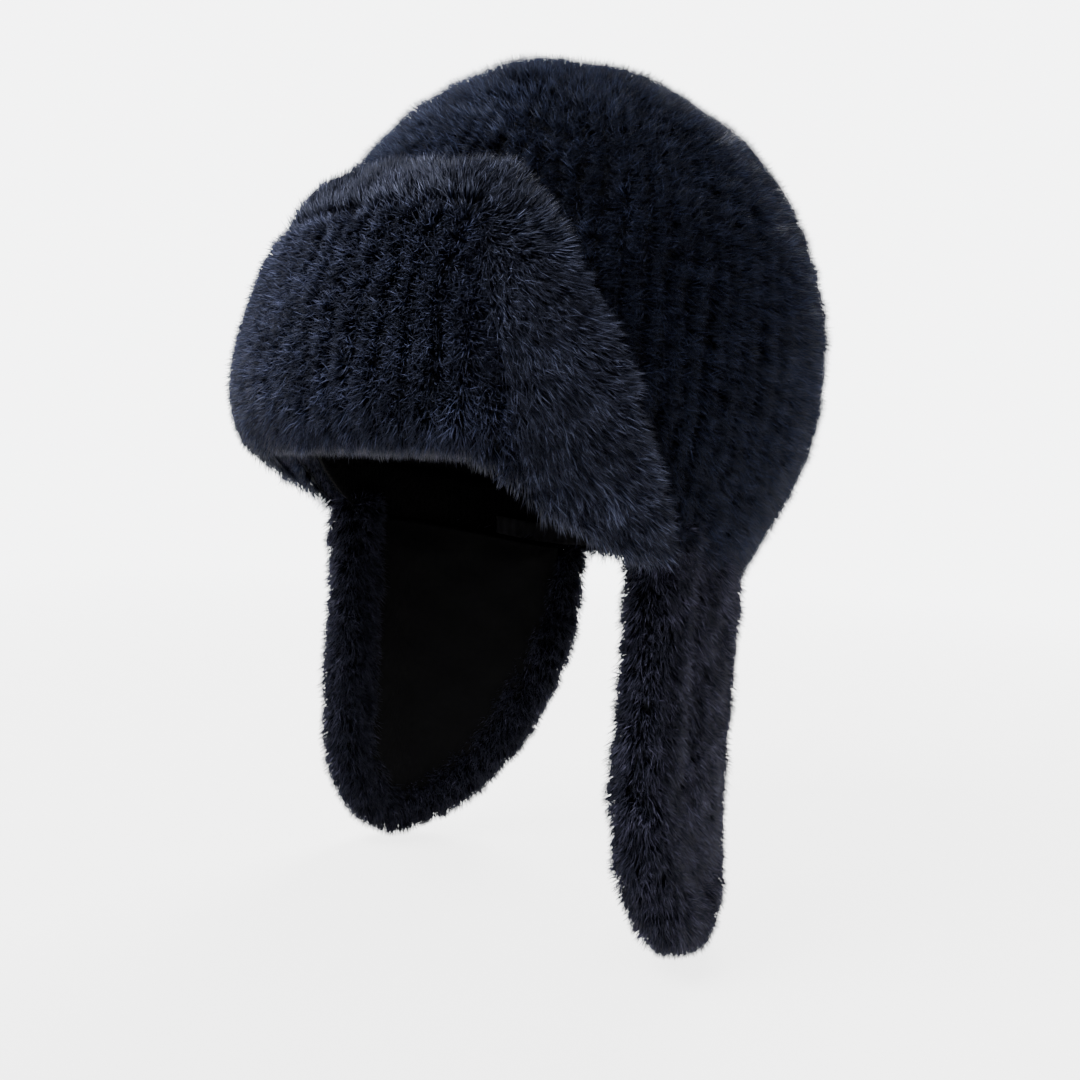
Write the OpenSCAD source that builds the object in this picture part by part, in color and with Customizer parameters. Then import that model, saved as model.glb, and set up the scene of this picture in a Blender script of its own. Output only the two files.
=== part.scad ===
// Fur trapper hat: a ribbed fur crown with a turned-up front flap and two ear flaps.
// Millimetres. +Z is up, -Y is the front, +X is the wearer's left. The origin is in the
// middle of the head opening, at the height of the back hem.
//
// Every piece is a closed slab lying between two offsets of the crown's outer surface.
// A place on that surface is an azimuth (0 at the brow, 180 at the nape) and a height.

/* [Crown] */
// Half width of the crown at its widest, over the pile
crown_half_width = 106; // [100:1:112]
// Reach of the crown forward of the origin
crown_front = 100; // [96:1:108]
// Reach of the crown behind the origin
crown_back = 136; // [124:1:140]
// Height of the crown's top above the back hem
crown_top = 197; // [185:1:205]
// Height at which the crown is widest
widest_z = 70; // [62:1:82]
// How far the top leans back from the origin
top_lean = 22; // [10:1:28]
// Width at the temples of the hem, as a share of the widest
temple_pull_in = 0.93; // [0.9:0.01:0.97]
// Width at the nape of the hem, as a share of the widest
nape_pull_in = 0.72; // [0.7:0.01:0.85]

/* [Hem] */
// Height of the hem over the brow
brow_z = 44; // [38:1:50]
// Height of the hem at the front corner of each ear flap
temple_z = 13; // [8:1:18]
// Azimuth at which the hem begins to fall from the brow
brow_az = 38; // [28:1:40]
// Height of the bound edge all round the hem
binding_h = 6; // [4:1:9]

/* [Layers] */
// Thickness of the fur, backing cloth and pile together
fur_t = 9; // [7:0.5:10]
// Thickness of the wadding in the crown
padding_t = 3; // [2:0.5:4]
// Thickness of a lining cloth
lining_t = 1.2; // [0.8:0.1:1.5]
// Thickness of the knitted sweatband
sweatband_t = 1.8; // [1.2:0.1:2.2]
// Height of the sweatband
sweatband_h = 26; // [20:1:34]
// Clear space between neighbouring layers
gap = 0.3; // [0.2:0.05:0.4]
// Clear space inside the lining, round the sweatband and label
inner_gap = 1.5; // [1.4:0.1:1.8]

/* [Front flap] */
// Height of the front flap's top edge above the back hem
flap_top_z = 142; // [132:1:148]
// Azimuth of the front flap's lower corners
wing_az = 73; // [70:1:74]
// Azimuth that its side edges lose for each millimetre of height
wing_slope = 0.27; // [0.24:0.01:0.3]
// Height at which its upper corners begin to round off
corner_z = 112; // [104:1:118]
// Share of the half width that the upper corners round away
corner_share = 0.385; // [0.3:0.005:0.42]
// Thickness of its fur, backing cloth and pile together
flap_fur_t = 7.5; // [6:0.5:9]
// Thickness of the stiffening sheet in the front flap
interlining_t = 1.2; // [1:0.1:1.4]

/* [Ear flaps] */
// Depth of each ear flap below the back hem
ear_drop = 134; // [118:1:138]
// Azimuth of its straight front edge
ear_front_az = 75; // [75:1:78]
// Azimuth of its lowest point
ear_tip_az = 98; // [92:1:102]
// Azimuth at which its back edge runs out into the nape hem
ear_back_az = 152; // [146:1:154]
// Depth at which the front edge begins to curve
ear_straight = 75; // [60:1:85]
// Width of the fur roll round the edge
ear_band_w = 19; // [15:1:22]
// Thickness of the fur roll from face to face
ear_roll_t = 25; // [22:1:26]
// Thickness of the wadding between the faces
ear_wadding_t = 6; // [4:0.5:7]
// Distance of the fold line from the origin, just outside the fur
ear_fold_reach = 100; // [99:0.5:104]
// Turn of the fold line from the fore-and-aft direction, in degrees
ear_fold_turn = 10; // [6:1:14]
// How far the tip hangs forward of the hem
ear_forward = 5; // [0:1:8]
// How far the tip hangs inward of the hem
ear_tuck = 2; // [0:1:4]
// Angle the flap can swing inward before its top meets the hem, in degrees
ear_inward = 8; // [5:1:10]

/* [Hidden] */

fur_colour = [0.05, 0.055, 0.075];
band_colour = [0.09, 0.10, 0.13];
padding_colour = [0.80, 0.80, 0.78];
lining_colour = [0.03, 0.03, 0.035];
elastic_colour = [0.12, 0.12, 0.13];
label_colour = [0.75, 0.75, 0.75];

// Depths of the layers below the crown's outer surface
fur_in = -fur_t;
padding_out = fur_in - gap;
padding_in = padding_out - padding_t;
lining_out = padding_in - gap;
lining_in = lining_out - lining_t;
sweatband_out = lining_in - inner_gap;
sweatband_in = sweatband_out - sweatband_t;
label_t = 0.5;
label_h = 30;
label_lift = 4;
label_out = lining_in - inner_gap;
elastic_t = 1.2;
elastic_h = 8;
elastic_lift = 3;
elastic_gap = 0.6;
elastic_half_az = 60;

// Stand-off of the front flap's layers above the crown's outer surface
flap_clear = 1.6;
flap_gap = 0.7;
backing_out = flap_clear + lining_t;
interlining_in = backing_out + flap_gap;
interlining_out = interlining_in + interlining_t;
flap_fur_in = interlining_out + flap_gap;
flap_fur_out = flap_fur_in + flap_fur_t;
flap_band_share = 0.3;
flap_band_top_share = 0.22;
interlining_inset = 0.03;

// Ear flap layers, and the clearances that let the flap swing
ear_wadding_out = fur_in - gap;
ear_wadding_in = ear_wadding_out - ear_wadding_t;
ear_lining_out = ear_wadding_in - gap;
ear_lining_in = ear_lining_out - lining_t;
ear_top_clear = 1.5;
ear_fold_normal = [cos(ear_fold_turn), sin(ear_fold_turn)];
ear_power = 1.25;
ear_mm_per_degree = 1.75;
ear_end_angle = 84;
ear_band_az = ear_band_w / ear_mm_per_degree;
ear_panel_fill = 0.93;

hem_power = 1.8;
hem_fall_az = 51;
hem_back_az = 76;
hem_back_run = 70;
apex_inset = 0.6;
apex_share = 0.995;
panel_gap_az = 0.35;

// Neighbouring layers share the same divisions, so that their facets stay parallel
step_az = 7.5;
crown_rows = 13;
flap_half_columns = 12;
flap_rows = 8;
ear_columns = 12;
ear_rows = 6;

function limit(x, low, high) = min(high, max(low, x));
function clamp01(x) = limit(x, 0, 1);
function ease(x) = let (c = clamp01(x)) c * c * (3 - 2 * c);
function mix(a, b, x) = a + (b - a) * x;

// Height of the hem at an azimuth
function hem_z(az) =
    let (a = abs(az) > 180 ? 360 - abs(az) : abs(az))
    mix(mix(brow_z, temple_z, ease((a - brow_az) / hem_fall_az)),
        0, ease((a - hem_back_az) / hem_back_run));

// Width of the hem at an azimuth, as a share of the widest
function pull_in(az) =
    let (a = abs(az) > 180 ? 360 - abs(az) : abs(az))
    mix(temple_pull_in, nape_pull_in, ease((a - 90) / 50));

// Outline of the crown at its widest, grown outward by off
function widest(az, off) =
    let (reach = cos(az) > 0 ? crown_front : crown_back)
    [(crown_half_width + off) * sin(az), -(reach + off) * cos(az)];

// Share of the widest outline that is left at a height
function profile(az, z, off) =
    z > widest_z
    ? sqrt(max(0, 1 - pow((z - widest_z) / (crown_top + off - widest_z), 2)))
    : 1 - (1 - pull_in(az)) * pow(clamp01((widest_z - z) / (widest_z - hem_z(az))), hem_power);

// A point at an azimuth and height, off outward from the crown's outer surface
function on_crown(az, z, off) =
    let (p = widest(az, off) * profile(az, z, off))
    [p[0], p[1] + top_lean * ease((z - 20) / (crown_top - 20)), z];

// A slab from a grid of outer and inner points. place(i, j, side) gives a point for
// i and j from 0 to 1, with side 0 on the outer face and side 1 on the inner face.
// A closed slab joins its last column to its first.
module slab(columns, rows, place, closed = false) {
    cols = closed ? columns : columns + 1;
    layer = cols * (rows + 1);
    points = [
        for (side = [0, 1], r = [0 : rows], c = [0 : cols - 1])
            place(c / columns, r / rows, side)
    ];
    faces = concat(
        [for (side = [0, 1], r = [0 : rows - 1], c = [0 : columns - 1])
            let (n = (c + 1) % cols, a = side * layer + r * cols, b = a + cols)
            each two_triangles(a + c, a + n, b + n, b + c, side == 0)],
        [for (end = [0, 1], c = [0 : columns - 1])
            let (n = (c + 1) % cols, a = end * rows * cols)
            each two_triangles(a + c, a + n, a + n + layer, a + c + layer, end == 1)],
        closed ? [] : [for (end = [0, 1], r = [0 : rows - 1])
            let (a = r * cols + end * (cols - 1), b = a + cols)
            each two_triangles(a, b, b + layer, a + layer, end == 0)]
    );
    polyhedron(points, faces);
}

function two_triangles(a, b, c, d, forward) =
    forward ? [[a, c, b], [a, d, c]] : [[a, b, c], [a, c, d]];

// A gore of the crown between two azimuths, from the bound hem to the top
module gore(az_from, az_to, outer, inner) {
    middle = (az_from + az_to) / 2;
    slab((az_to - az_from) / step_az, crown_rows, function (i, j, side)
        let (
            az = limit(mix(az_from, az_to, i), az_from + panel_gap_az, az_to - panel_gap_az),
            off = side == 0 ? outer : inner,
            low = hem_z(az) + binding_h + gap,
            top = crown_top + off,
            z = low + (top - low) * sin(90 * j * apex_share),
            spread = apex_inset * j
        )
        on_crown(az, z, off) + [spread * sin(middle), -spread * cos(middle), 0]
    );
}

// A band round the hem between two heights above it
module hem_ring(lift_from, lift_to, outer, inner, rows) {
    slab(360 / step_az, rows, function (i, j, side)
        let (az = 360 * i - 180)
        on_crown(az, hem_z(az) + mix(lift_from, lift_to, j), side == 0 ? outer : inner),
        closed = true
    );
}

module crown_panel(az_from, az_to) {
    color(fur_colour) gore(az_from, az_to, 0, fur_in);
}

module lining_panel(az_from, az_to) {
    color(lining_colour) gore(az_from, az_to, lining_out, lining_in);
}

module crown_padding() {
    color(padding_colour)
    slab(360 / step_az, crown_rows, function (i, j, side)
        let (
            az = 360 * i - 180,
            off = side == 0 ? padding_out : padding_in,
            low = hem_z(az) + binding_h + gap,
            z = low + (crown_top + off - low) * sin(90 * j * apex_share)
        )
        on_crown(az, z, off),
        closed = true
    );
}

module hem_binding() {
    color(band_colour) hem_ring(0, binding_h, 0, lining_in, 1);
}

module sweatband() {
    color(elastic_colour) hem_ring(0, sweatband_h, sweatband_out, sweatband_in, 3);
}

// The elastic that gathers the nape sits in the fold between sweatband and head
module rear_elastic() {
    color(elastic_colour)
    slab(2 * elastic_half_az / step_az, 1, function (i, j, side)
        let (
            az = mix(180 - elastic_half_az, 180 + elastic_half_az, i),
            off = sweatband_in - elastic_gap - (side == 0 ? 0 : elastic_t)
        )
        on_crown(az, hem_z(az) + elastic_lift + elastic_h * j, off)
    );
}

// A plain sewn-in label, with nothing printed on it
module inner_label() {
    color(label_colour)
    slab(2, 2, function (i, j, side)
        let (az = mix(180 - step_az, 180 + step_az, i), off = label_out - (side == 0 ? 0 : label_t))
        on_crown(az, hem_z(az) + sweatband_h + label_lift + label_h * j, off)
    );
}

// Half width of the front flap at a height, as an azimuth
function flap_half_az(z) =
    let (
        straight = wing_az - wing_slope * (z - temple_z),
        s = clamp01((z - corner_z) / (flap_top_z - corner_z))
    )
    straight * (1 - corner_share * (1 - sqrt(1 - s * s)));

// A place on the front flap: u from -1 at the right edge to 1 at the left edge,
// v from 0 at the fold over the brow to 1 at the top edge
function on_flap(u, v, off) =
    let (
        low = hem_z(wing_az * u),
        z = mix(low, flap_top_z, v)
    )
    on_crown(u * flap_half_az(z), z, off);

// A sheet of the front flap, cut from the divisions of the whole flap
module flap_sheet(u_max, v_max, outer, inner) {
    half = ceil(u_max * flap_half_columns);
    rows = ceil(v_max * flap_rows);
    slab(2 * half, rows, function (i, j, side)
        let (
            u = limit((2 * i - 1) * half / flap_half_columns, -u_max, u_max),
            v = min(j * rows / flap_rows, v_max)
        )
        on_flap(u, v, side == 0 ? outer : inner)
    );
}

module front_flap_fur_panel() {
    color(fur_colour)
    flap_sheet(1 - flap_band_share - 0.005, 1 - flap_band_top_share - 0.005,
        flap_fur_out, flap_fur_in);
}

// The band of fur round the front flap's side and top edges, as one strip
module front_flap_edge_band() {
    side_share = 1 / 3;
    color(band_colour)
    slab(36, 2, function (i, j, side)
        let (
            u_edge = mix(1 - flap_band_share, 1, j),
            v_edge = mix(1 - flap_band_top_share, 1, j),
            off = side == 0 ? flap_fur_out : flap_fur_in
        )
        i < side_share
        ? on_flap(-u_edge, v_edge * i / side_share, off)
        : i > 1 - side_share
        ? on_flap(u_edge, v_edge * (1 - i) / side_share, off)
        : on_flap(u_edge * (2 * (i - side_share) / (1 - 2 * side_share) - 1), v_edge, off)
    );
}

module front_flap_interlining() {
    color(padding_colour)
    flap_sheet(1 - flap_band_share - interlining_inset, 1 - flap_band_top_share - interlining_inset,
        interlining_out, interlining_in);
}

module front_flap_backing() {
    color(lining_colour) flap_sheet(1, 1, backing_out, flap_clear);
}

// A place on an ear flap, given as an azimuth and a height at or below the hem. The
// flap hangs down from the hem's outline, leaning a little forward and inward.
function on_ear(az, z, off) =
    let (p = widest(az, 0) * pull_in(az), sag = clamp01(-z / ear_drop))
    concat(p * (norm(p) + off) / norm(p) - sag * [ear_tuck, ear_forward], z);

// The edge of an ear flap, inset by a share of the roll's width: k runs from 0 at the
// front corner, down the straight front edge, round the tip, and up the back edge
function ear_edge(k, inset) =
    let (
        front = ear_front_az + inset * ear_band_az,
        back = ear_back_az - inset * ear_band_az,
        low = -ear_drop + inset * ear_band_w
    )
    k < 0.3
    ? [front, mix(hem_z(front), -ear_straight, k / 0.3)]
    : k < 0.55
    ? let (a = 90 * (k - 0.3) / 0.25)
        [ear_tip_az - (ear_tip_az - front) * pow(cos(a), ear_power),
         -ear_straight + (low + ear_straight) * pow(sin(a), ear_power)]
    : let (a = ear_end_angle * (k - 0.55) / 0.45)
        [ear_tip_az + (back - ear_tip_az) * pow(sin(a), ear_power),
         low * pow(cos(a), ear_power)];

// Height of an ear flap's top, which slopes away from the hem inward of the fold line
function ear_top(az, off) =
    let (p = on_ear(az, 0, off), inward = ear_fold_reach - [p[0], p[1]] * ear_fold_normal)
    hem_z(az) - ear_top_clear - inward * tan(ear_inward);

// Lowest height inside the roll at an azimuth
function ear_floor(az) =
    let (
        front = ear_front_az + ear_band_az,
        back = ear_back_az - ear_band_az,
        low = -ear_drop + ear_band_w,
        inverse = 2 / ear_power
    )
    az < ear_tip_az
    ? -ear_straight + (low + ear_straight)
        * pow(1 - pow((ear_tip_az - az) / (ear_tip_az - front), inverse), 1 / inverse)
    : low * pow(1 - pow((az - ear_tip_az) / (back - ear_tip_az), inverse), 1 / inverse);

// One filling layer of an ear flap, inside the roll
module ear_layer(outer, inner) {
    front = ear_front_az + ear_band_az + 0.3;
    back = mix(ear_tip_az, ear_back_az - ear_band_az, ear_panel_fill);
    slab(ear_columns, ear_rows, function (i, j, side)
        let (
            az = mix(front, back, i),
            off = side == 0 ? outer : inner,
            z = mix(ear_floor(az) + 1, ear_top(az, off), j)
        )
        on_ear(az, z, off)
    );
}

// The fur roll round the front, bottom and back edges
module ear_roll() {
    slab(44, 2, function (i, j, side)
        let (
            e = ear_edge(i, 1 - j),
            off = side == 0 ? 0 : -ear_roll_t,
            top = ear_top(e[0], off)
        )
        on_ear(e[0], min(e[1], top), off)
    );
}

module left_ear_fur_panel() {
    color(fur_colour) ear_layer(0, fur_in);
}

module left_ear_edge_roll() {
    color(band_colour) ear_roll();
}

module left_ear_wadding() {
    color(padding_colour) ear_layer(ear_wadding_out, ear_wadding_in);
}

module left_ear_lining() {
    color(lining_colour) ear_layer(ear_lining_out, ear_lining_in);
}

module right_side() {
    mirror([1, 0, 0]) children();
}

crown_panel(0, 60);  // crown_panel_front_left
crown_panel(60, 120);  // crown_panel_side_left
crown_panel(120, 180);  // crown_panel_back_left
crown_panel(-60, 0);  // crown_panel_front_right
crown_panel(-120, -60);  // crown_panel_side_right
crown_panel(-180, -120);  // crown_panel_back_right
crown_padding();
lining_panel(-45, 45);  // lining_panel_front
lining_panel(45, 135);  // lining_panel_left
lining_panel(-135, -45);  // lining_panel_right
lining_panel(135, 225);  // lining_panel_back
hem_binding();
sweatband();
rear_elastic();
inner_label();
front_flap_fur_panel();
front_flap_edge_band();
front_flap_interlining();
front_flap_backing();
left_ear_fur_panel();
left_ear_edge_roll();
left_ear_wadding();
left_ear_lining();
right_side() left_ear_fur_panel();  // right_ear_fur_panel
right_side() left_ear_edge_roll();  // right_ear_edge_roll
right_side() left_ear_wadding();  // right_ear_wadding
right_side() left_ear_lining();  // right_ear_lining
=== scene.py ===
"""Fur trapper hat, dressed over its CAD frame. Metres; +Z up, -Y the front, +X the wearer's left.

A place on the hat is an azimuth (degrees, 0 at the brow, 180 at the nape), a height, and an
offset outward from the crown's outer surface, which lies over the tips of the pile. Skins lie
a pile's length below that surface, and real strands of fur grow from them.
"""

import math

import bpy
import numpy as np
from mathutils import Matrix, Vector


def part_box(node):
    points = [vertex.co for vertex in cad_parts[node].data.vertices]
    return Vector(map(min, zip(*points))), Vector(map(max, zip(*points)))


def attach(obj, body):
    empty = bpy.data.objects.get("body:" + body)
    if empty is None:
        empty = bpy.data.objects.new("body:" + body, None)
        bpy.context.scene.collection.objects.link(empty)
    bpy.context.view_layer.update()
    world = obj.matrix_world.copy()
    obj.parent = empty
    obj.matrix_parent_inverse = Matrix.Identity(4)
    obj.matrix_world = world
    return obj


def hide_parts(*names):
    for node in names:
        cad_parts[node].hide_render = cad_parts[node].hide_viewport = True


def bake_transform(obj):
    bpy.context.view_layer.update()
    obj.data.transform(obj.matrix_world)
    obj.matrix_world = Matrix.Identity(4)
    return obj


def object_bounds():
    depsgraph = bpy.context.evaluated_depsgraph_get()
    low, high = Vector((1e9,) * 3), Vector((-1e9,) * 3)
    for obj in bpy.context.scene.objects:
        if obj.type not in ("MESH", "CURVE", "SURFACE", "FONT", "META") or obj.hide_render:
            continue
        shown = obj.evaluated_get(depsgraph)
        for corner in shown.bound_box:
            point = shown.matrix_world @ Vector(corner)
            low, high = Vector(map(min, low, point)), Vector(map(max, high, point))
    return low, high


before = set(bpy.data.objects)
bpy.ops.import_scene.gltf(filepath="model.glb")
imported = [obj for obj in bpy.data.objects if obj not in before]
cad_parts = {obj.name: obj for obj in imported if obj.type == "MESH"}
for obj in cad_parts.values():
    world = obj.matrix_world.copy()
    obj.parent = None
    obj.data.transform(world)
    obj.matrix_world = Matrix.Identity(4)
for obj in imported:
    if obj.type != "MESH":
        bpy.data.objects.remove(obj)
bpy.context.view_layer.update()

MM = 0.001

# ---------------------------------------------------------------- driving dimensions

HALF_WIDTH = 106 * MM
FRONT_REACH = 100 * MM
BACK_REACH = 136 * MM
TOP_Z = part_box("crown_panel_back_left")[1][2]
WIDEST_Z = 70 * MM
TOP_LEAN, LEAN_FROM_Z = 22 * MM, 20 * MM
TEMPLE_PULL, NAPE_PULL = 0.93, 0.72
TUCK_POWER = 1.8  # above 1, the crown's sides draw in mostly just above the hem

BINDING_H = 6 * MM
BROW_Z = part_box("hem_binding")[1][2] - BINDING_H
TEMPLE_Z = 13 * MM
BROW_AZ, HEM_FALL_AZ = 38.0, 51.0  # where the hem starts down to the temples, and over how far
SIDE_AZ, NAPE_FALL_AZ = 76.0, 70.0  # the same from the sides to the nape

FLAP_TOP_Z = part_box("front_flap_edge_band")[1][2]
WING_AZ, WING_SLOPE = 73.0, 270.0  # degrees, and degrees lost per metre of height
CORNER_Z, CORNER_SHARE = 112 * MM, 0.385
BAND_U, BAND_V = 0.70, 0.78  # where the flap's edge band begins, out from its middle and up it

EAR_DROP = -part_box("left_ear_edge_roll")[0][2]
EAR_FRONT_AZ, EAR_TIP_AZ, EAR_BACK_AZ = 75.0, 98.0, 152.0
EAR_STRAIGHT = 75 * MM
EAR_BAND_W, EAR_BAND_AZ = 19 * MM, 10.9
EAR_POWER = 1.25
EAR_TUCK, EAR_FORWARD = 2 * MM, 5 * MM

LEFT_SAG, RIGHT_SAG, RIGHT_LIFT = 10 * MM, 2 * MM, 8 * MM  # of the flap's lower edge
PILE = 8 * MM
CROWN_SKIN, SKIN_T = -4.6 * MM, 1.1 * MM
RIBS = 72  # knitted ribs round the whole crown
RIB_RISE, LUMP_RISE = 0.45 * MM, 0.15 * MM
LUMP = 9.5 * MM  # length of one lump along a rib
RIB_TOP_Z, RIB_FADE_H = 182 * MM, 50 * MM  # the ribs fade out over this height, up to their top
SWELL, SWELL_FROM_Z = 2.2 * MM, 115 * MM  # fullness of the crown's front above the flap
APEX = 0.996  # domes stop this share of a quarter turn up, which leaves a pinhole at the top
SWEATBAND_H = 26 * MM

# ---------------------------------------------------------------- small maths


def ease(x):
    """Smooth step: 0 below 0, 1 above 1."""
    c = np.clip(x, 0.0, 1.0)
    return c * c * (3 - 2 * c)


def mix(a, b, x):
    return a + (b - a) * x


def unit(v):
    return v / np.maximum(np.linalg.norm(v, axis=-1, keepdims=True), 1e-9)


def dot(a, b):
    return (a * b).sum(-1, keepdims=True)


def sind(a):
    return np.sin(np.radians(a))


def cosd(a):
    return np.cos(np.radians(a))


def wobble(p, size, seed):
    """Smooth seeded noise, mostly between -1 and 1, that varies over a length of size."""
    rng = np.random.default_rng(seed)
    total = 0.0
    for _ in range(6):
        way = unit(rng.normal(size=3)) * 2 * math.pi / (size * rng.uniform(0.8, 1.6))
        total = total + np.sin(p @ way + rng.uniform(0, 2 * math.pi))
    return total / 2.6


# ---------------------------------------------------------------- the hat's surfaces


def from_brow(az):
    """How far an azimuth lies from the brow, 0 to 180 degrees."""
    a = np.abs(az)
    return np.where(a > 180, 360 - a, a)


def hem_z(az):
    """Height of the hem: high over the brow, lower at the temples and 0 at the nape."""
    a = from_brow(az)
    fall = ease((a - BROW_AZ) / HEM_FALL_AZ)
    return mix(mix(BROW_Z, TEMPLE_Z, fall), 0.0, ease((a - SIDE_AZ) / NAPE_FALL_AZ))


def bump(a, rise_from, rise_to, fall_from, fall_to):
    """0, rising smoothly to 1 and falling back to 0, between four places in order."""
    return ease((a - rise_from) / (rise_to - rise_from)) * ease((fall_to - a) / (fall_to - fall_from))


def fold_z(az):
    """Height of the front flap's lower edge, which hangs low on the hat's left side."""
    left = LEFT_SAG * bump(az, 36, 62, 68, 84)
    right = RIGHT_SAG * bump(-az, 8, 28, 40, 52) - RIGHT_LIFT * bump(-az, 48, 62, 72, 82)
    return hem_z(az) - left - right


def pull_in(az):
    """Share of its widest size that the crown keeps at the hem."""
    return mix(TEMPLE_PULL, NAPE_PULL, ease((from_brow(az) - 90) / 50))


def widest(az, off):
    """The crown's outline where it is widest, seen from above."""
    reach = np.where(cosd(az) > 0, FRONT_REACH, BACK_REACH)
    return np.stack([(HALF_WIDTH + off) * sind(az), -(reach + off) * cosd(az)], -1)


def profile(az, z, off):
    """Share of its widest size that the crown has at a height."""
    up = np.clip((z - WIDEST_Z) / (TOP_Z + off - WIDEST_Z), 0, 1)
    down = np.clip((WIDEST_Z - z) / (WIDEST_Z - hem_z(az)), 0, 1.2)
    return np.where(z > WIDEST_Z, np.sqrt(1 - up * up), 1 - (1 - pull_in(az)) * down**TUCK_POWER)


def lean(z):
    """How far the crown's middle lies back at a height."""
    return TOP_LEAN * ease((z - LEAN_FROM_Z) / (TOP_Z - LEAN_FROM_Z))


def on_crown(az, z, off):
    """A place on the crown."""
    az, z, off = np.broadcast_arrays(az, z, off)
    p = widest(az, off) * profile(az, z, off)[..., None]
    return np.stack([p[..., 0], p[..., 1] + lean(z), z], -1)


def crown_az(p):
    """Azimuth of points on or near the crown or the front flap."""
    y = p[..., 1] - lean(p[..., 2])
    reach = np.where(y < 0, FRONT_REACH, BACK_REACH)
    return np.degrees(np.arctan2(p[..., 0] / HALF_WIDTH, -y / reach))


def crown_frame(p):
    """Unit vectors round the crown and down it, at points on or near it."""
    az, step = crown_az(p), 1.0
    around = unit(on_crown(az + step, p[..., 2], 0.0) - on_crown(az - step, p[..., 2], 0.0))
    low = np.minimum(p[..., 2], TOP_Z - 6 * MM)
    down = unit(on_crown(az, low - 4 * MM, 0.0) - on_crown(az, low + 4 * MM, 0.0))
    return az, around, down


def flap_half_az(z):
    """Azimuth of the front flap's side edge at a height, with its upper corner rounded off."""
    s = np.clip((z - CORNER_Z) / (FLAP_TOP_Z - CORNER_Z), 0, 1)
    return (WING_AZ - WING_SLOPE * (z - TEMPLE_Z)) * (1 - CORNER_SHARE * (1 - np.sqrt(1 - s * s)))


def on_flap(u, v, off):
    """A place on the front flap: u -1 to 1 from its right to its left edge, v 0 to 1 up it."""
    u, v, off = np.broadcast_arrays(u, v, off)
    z = mix(fold_z(WING_AZ * u), FLAP_TOP_Z, v)
    return on_crown(u * flap_half_az(z), z, off)


def flap_place(p):
    """The u and v of points on or near the front flap."""
    z = np.minimum(p[..., 2], FLAP_TOP_Z)
    u = np.clip(crown_az(p) / flap_half_az(z), -1.2, 1.2)
    low = fold_z(WING_AZ * u)
    return u, (z - low) / (FLAP_TOP_Z - low)


def on_ear(az, z, off):
    """A place on the left ear flap."""
    az, z, off = np.broadcast_arrays(az, z, off)
    p = widest(az, 0.0) * pull_in(az)[..., None]
    n = np.linalg.norm(p, axis=-1, keepdims=True)
    sag = np.clip(-z / EAR_DROP, 0, 1)[..., None]
    p = p * (n + off[..., None]) / n - sag * [EAR_TUCK, EAR_FORWARD]
    return np.concatenate([p, z[..., None]], -1)


def ear_edge(k, inset):
    """The left ear flap's edge, moved in by a length: k 0 to 1 down its front and up its back."""
    share = inset / EAR_BAND_W
    front, back = EAR_FRONT_AZ + share * EAR_BAND_AZ, EAR_BACK_AZ - share * EAR_BAND_AZ
    low = -EAR_DROP + inset
    turn = np.radians(90 * np.clip(np.where(k < 0.55, (k - 0.3) / 0.25, (k - 0.55) / 0.45), 0, 1))
    rise, fall = np.sin(turn) ** EAR_POWER, np.cos(turn) ** EAR_POWER
    az = np.where(k < 0.55, EAR_TIP_AZ - (EAR_TIP_AZ - front) * fall,
                  EAR_TIP_AZ + (back - EAR_TIP_AZ) * rise)
    z = np.where(k < 0.55, -EAR_STRAIGHT + (low + EAR_STRAIGHT) * rise, low * fall)
    straight = mix(hem_z(front), -EAR_STRAIGHT, k / 0.3)
    return np.where(k < 0.3, front, az), np.where(k < 0.3, straight, z)


def ear_floor(az, inset):
    """Height of the left ear flap's lower edge at an azimuth, moved in by a length."""
    share, power = inset / EAR_BAND_W, 2 / EAR_POWER
    front, back = EAR_FRONT_AZ + share * EAR_BAND_AZ, EAR_BACK_AZ - share * EAR_BAND_AZ
    low = -EAR_DROP + inset
    fore = np.clip((EAR_TIP_AZ - az) / (EAR_TIP_AZ - front), 0, 1) ** power
    aft = np.clip((az - EAR_TIP_AZ) / (back - EAR_TIP_AZ), 0, 1) ** power
    return np.where(az < EAR_TIP_AZ,
                    -EAR_STRAIGHT + (low + EAR_STRAIGHT) * (1 - fore) ** (1 / power),
                    low * (1 - aft) ** (1 / power))


# ---------------------------------------------------------------- meshes


def mesh_object(name, points, faces, material):
    """A smooth-shaded piece with its faces turned outward."""
    mesh = bpy.data.meshes.new(name)
    mesh.from_pydata([tuple(p) for p in points], [], [tuple(f) for f in faces])
    mesh.materials.append(material)
    mesh.update()
    obj = bpy.data.objects.new(name, mesh)
    bpy.context.collection.objects.link(obj)
    if signed_volume(mesh) < 0:
        mesh.flip_normals()
    smooth_shade(obj)
    return obj


def triangles(mesh):
    """The corners of a mesh's triangles, as rows of three vertex numbers."""
    mesh.calc_loop_triangles()
    corners = np.empty(len(mesh.loop_triangles) * 3, np.int32)
    mesh.loop_triangles.foreach_get("vertices", corners)
    return corners.reshape(-1, 3)


def signed_volume(mesh):
    co = np.array([v.co for v in mesh.vertices])
    a, b, c = (co[triangles(mesh)[:, k]] for k in range(3))
    return float((np.cross(a, b) * c).sum())


def smooth_shade(obj):
    obj.data.polygons.foreach_set("use_smooth", [True] * len(obj.data.polygons))
    obj.data.update()


def grid_faces(columns, rows, across, down, start=0, flip=False):
    """Quads of a grid whose points run across first; across and down count its points."""
    faces = []
    for r in range(rows):
        for c in range(columns):
            n, m = (c + 1) % across, (r + 1) % down
            face = [start + r * across + c, start + r * across + n,
                    start + m * across + n, start + m * across + c]
            faces.append(face[::-1] if flip else face)
    return faces


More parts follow.
